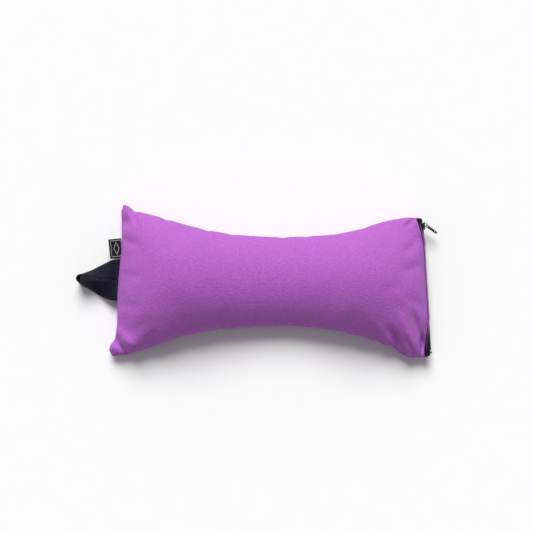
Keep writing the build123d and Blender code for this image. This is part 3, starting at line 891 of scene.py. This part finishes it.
loop_course = loop_sections()
loop = ribbon("carry_loop_tape", loop_course, 1.3 * MM)
finish_piece(loop, NAVY_TWILL, "cushion", "loop_webbing", "carry_loop")

loop_tree = BVHTree.FromObject(loop, bpy.context.evaluated_depsgraph_get())


def on_surface(tree, x, y, from_z=60.0):
    """The highest point of a surface above a place in plan, in metres."""
    hit = tree.ray_cast(Vector((x * MM, y * MM, from_z * MM)), Vector((0, 0, -1)))
    return np.array(hit[0]) if hit[0] is not None else None


stitch_rows = []
for start_y, end_y in ((26.0, 3.5), (-1.5, -23.5)):
    row = [on_surface(loop_tree, -191.8 - 0.035 * y, y) for y in np.linspace(start_y, end_y, 30)]
    row = [point + np.array([0, 0, 0.05 * MM]) for point in row if point is not None]
    stitch_rows += dashes(row, HEM_PITCH * MM, HEM_STITCH * MM, lift=np.array([0, 0, 0.5 * MM]))
loop_stitches = tube("carry_loop_stitches", stitch_rows, 0.24 * MM, 6)
finish_piece(loop_stitches, NAVY_THREAD, "cushion", "navy_thread", "loop_stitching")


# ---------------------------------------------------------------- the woven label
LABEL_TIP = (-201.0, 40.4, 15.0)
LABEL_TURN = 7
LABEL_WIDTH = 24.5
LABEL_REACH = 15.5
LABEL_HALF_GAP = 0.45
LABEL_CURL = 1.6
LABEL_PRINT = 16.5  # the woven pattern's length, from the fold towards the seam


def make_label():
    """A folded ribbon: two layers joined by a soft fold, with its ends in the seam."""
    turn = math.radians(LABEL_TURN)
    outward = Vector((-math.cos(turn), -math.sin(turn), 0))
    side = Vector((-math.sin(turn), math.cos(turn), 0))
    tip = Vector(LABEL_TIP) * MM
    width, reach, gap = LABEL_WIDTH, LABEL_REACH, LABEL_HALF_GAP
    course = []
    for k in range(15):
        course.append((-reach * (1 - k / 14), gap))
    for k in range(1, 8):
        angle = math.pi / 2 - math.pi * k / 8
        course.append((gap * 1.3 * math.cos(angle), gap * math.sin(angle)))
    for k in range(15):
        course.append((-reach * k / 14, -gap))
    sections = []
    for along, height in course:
        curl = LABEL_CURL * ease(-12, 0, along)
        middle = tip + outward * along * MM + Vector((0, 0, (height + curl) * MM))
        sections.append((np.array(middle), np.array(side), width * MM))
    obj = ribbon("label_ribbon", sections, 0.32 * MM)
    bm = bmesh.new()
    bm.from_mesh(obj.data)
    layer = bm.loops.layers.uv["UVMap"]
    for face in bm.faces:
        for corner in face.loops:
            place = corner.vert.co - tip
            corner[layer].uv = (-place.dot(outward) / (LABEL_PRINT * MM),
                                place.dot(side) / (width * MM) + 0.5)
    bm.to_mesh(obj.data)
    bm.free()
    return obj


label = make_label()
finish_piece(label, LABEL, "cushion", "label_ribbon", "woven_label")


# ---------------------------------------------------------------- the zipper
def zipper_tape(name, side, node):
    """One tape: flat beside the chain, then turning to follow the panel's hem."""
    verts, faces, uvs = [], [], []
    stations = np.linspace(-86, 86, 130)
    thickness = TAPE_FRONT - TAPE_BACK
    for along in stations:
        up, out = hem_line(np.array(along), side)
        turn = float(corner_turn(along))
        outer = (side * max(abs(float(up)) + 0.7 - turn, 4.5), float(out) - 1.6 - turn)
        inner_bend = (side * 4.3, TAPE_BACK + thickness / 2)
        profile = [(side * 0.35, inner_bend[1]), (side * 2.4, inner_bend[1]), inner_bend]
        for share in (0.35, 0.7, 1.0):
            profile.append((inner_bend[0] + (outer[0] - inner_bend[0]) * share,
                            inner_bend[1] + (outer[1] - inner_bend[1]) * share))
        width = 0.0
        for k, (v, n) in enumerate(profile):
            if k:
                width += math.dist(profile[k - 1], (v, n))
            verts.append(zip_point(along, v, n))
            uvs.append((along * MM, side * width * MM))
    count = 6
    for k in range(len(stations) - 1):
        for r in range(count - 1):
            a = k * count + r
            quad = (a, a + 1, a + 1 + count, a + count)
            faces.append(quad if side < 0 else quad[::-1])
    obj = new_object(name, verts, faces)
    layer = obj.data.uv_layers.new(name="UVMap")
    for corner in obj.data.loops:
        layer.data[corner.index].uv = uvs[corner.vertex_index]
    smooth = obj.modifiers.new("smooth", "SUBSURF")
    smooth.levels = smooth.render_levels = 1
    thick = obj.modifiers.new("thick", "SOLIDIFY")
    thick.thickness = thickness * MM
    thick.offset = 0
    apply_modifiers(obj)
    obj.data.shade_smooth()
    return finish_piece(obj, ZIP_TAPE, "cushion", "zipper_tape", node)


zipper_tape("zipper_tape_top", 1, "zipper_tape_upper")
zipper_tape("zipper_tape_bottom", -1, "zipper_tape_lower")

COIL_PITCH = 1.4
COIL_START, COIL_END = -80.4, 78.0
COIL_WIRE = 0.3
COIL_MIDDLE_UP, COIL_HALF_UP = 0.72, 1.18
COIL_MIDDLE_OUT, COIL_HALF_OUT = 1.05, 0.72
COIL_LEAN = 0.18


def zipper_coil(name, side, node):
    """One spiral of nylon wire, its turns passing between the other's."""
    turns = int((COIL_END - COIL_START) / COIL_PITCH) - 1
    offset = 0.0 if side > 0 else COIL_PITCH / 2
    per_turn = 14
    line = []
    for k in range(turns * per_turn + 1):
        angle = 2 * math.pi * k / per_turn
        lean = COIL_LEAN * math.sin(angle)
        along = COIL_START + COIL_PITCH / 2 + offset + COIL_PITCH * k / per_turn + lean
        up = side * (COIL_MIDDLE_UP - COIL_HALF_UP * math.cos(angle))
        out = TAPE_FRONT + COIL_MIDDLE_OUT + COIL_HALF_OUT * math.sin(angle)
        line.append(zip_point(along, up, out))
    obj = tube(name, [line], COIL_WIRE * MM, 7, first_up=ZIP_OUT)
    return finish_piece(obj, COIL, "cushion", "zipper_coil", node)


zipper_coil("zipper_coil_top", 1, "zipper_coil_upper")
zipper_coil("zipper_coil_bottom", -1, "zipper_coil_lower")

cover_trees = {1: BVHTree.FromObject(cover_top, bpy.context.evaluated_depsgraph_get()),
               -1: BVHTree.FromObject(cover_bottom, bpy.context.evaluated_depsgraph_get())}


def hem_stitches(name, side, node):
    """Stitches on the fabric beside the slot, each laid on the panel's own surface."""
    row = []
    for along in np.linspace(-79, 79, 200):
        up, out = hem_line(np.array(along), side)
        turn = float(corner_turn(along))
        guess = zip_point(along, float(up) + side * 2.4, float(out) + 1.0 - 3.2 * turn)
        spot, normal, _, _ = cover_trees[side].find_nearest(guess)
        row.append(np.array(spot + normal * 0.12 * MM))
    stitches = dashes(row, HEM_PITCH * MM, HEM_STITCH * MM)
    obj = tube(name, stitches, 0.24 * MM, 6, first_up=ZIP_OUT)
    return finish_piece(obj, PURPLE_THREAD, "cushion", "purple_thread", node)


hem_stitches("hem_stitches_top", 1, "zipper_stitching_upper")
hem_stitches("hem_stitches_bottom", -1, "zipper_stitching_lower")

for node, look, bevel in (("zipper_slider_body", METAL, 0.18), ("zipper_pull_tab", METAL, 0.16),
                          ("zipper_top_stops", COIL, 0.12), ("zipper_bottom_stop", COIL, 0.15)):
    part = frame["nodes"][node]
    part.data.materials.clear()
    part.data.materials.append(look)
    rounded = part.modifiers.new("edges", "BEVEL")
    rounded.width = bevel * MM
    rounded.segments = 2
    rounded.limit_method = "ANGLE"
    rounded.angle_limit = math.radians(35)

# ---------------------------------------------------------------- stage, light and camera
FLOOR_HALF = 40.0
SUN_ENERGY = 3.45
SUN_SPREAD = 36
SUN_DIRECTION = (-0.05, 0.68, 0.73)
WORLD_STRENGTH = 0.27
floor_corners = [(x * FLOOR_HALF, y * FLOOR_HALF, 0) for x, y in ((-1, -1), (1, -1), (1, 1), (-1, 1))]
floor = new_object("floor", floor_corners, [(0, 1, 2, 3)], smooth=False)
floor.location.z = -0.0002
floor.data.materials.append(FLOOR)

world = bpy.data.worlds.new("studio")
bpy.context.scene.world = world
world.use_nodes = True
world.node_tree.nodes["Background"].inputs["Color"].default_value = (1, 1, 1, 1)
world.node_tree.nodes["Background"].inputs["Strength"].default_value = WORLD_STRENGTH

sun_data = bpy.data.lights.new("key", "SUN")
sun_data.energy = SUN_ENERGY
sun_data.angle = math.radians(SUN_SPREAD)
sun = bpy.data.objects.new("key", sun_data)
bpy.context.scene.collection.objects.link(sun)
sun.rotation_euler = Vector(SUN_DIRECTION).to_track_quat("Z", "Y").to_euler()

VIEW_DISTANCE = 1.35
VIEW_TILT = 6.0
VIEW_CENTRE = Vector((-4.4, 18.1, 20.0)) * MM
FRAME_WIDTH = 0.666
SENSOR_WIDTH = 36
camera_data = bpy.data.cameras.new("camera")
camera = bpy.data.objects.new("camera", camera_data)
bpy.context.scene.collection.objects.link(camera)
tilt = math.radians(VIEW_TILT)
camera.location = VIEW_CENTRE + Vector((0, -math.sin(tilt), math.cos(tilt))) * VIEW_DISTANCE
camera.rotation_euler = (tilt, 0, 0)
camera_data.sensor_width = SENSOR_WIDTH
camera_data.lens = SENSOR_WIDTH / 2 / (FRAME_WIDTH / 2 / VIEW_DISTANCE)
camera_data.clip_end = 100
bpy.context.scene.camera = camera
bpy.context.scene.view_settings.view_transform = "Standard"
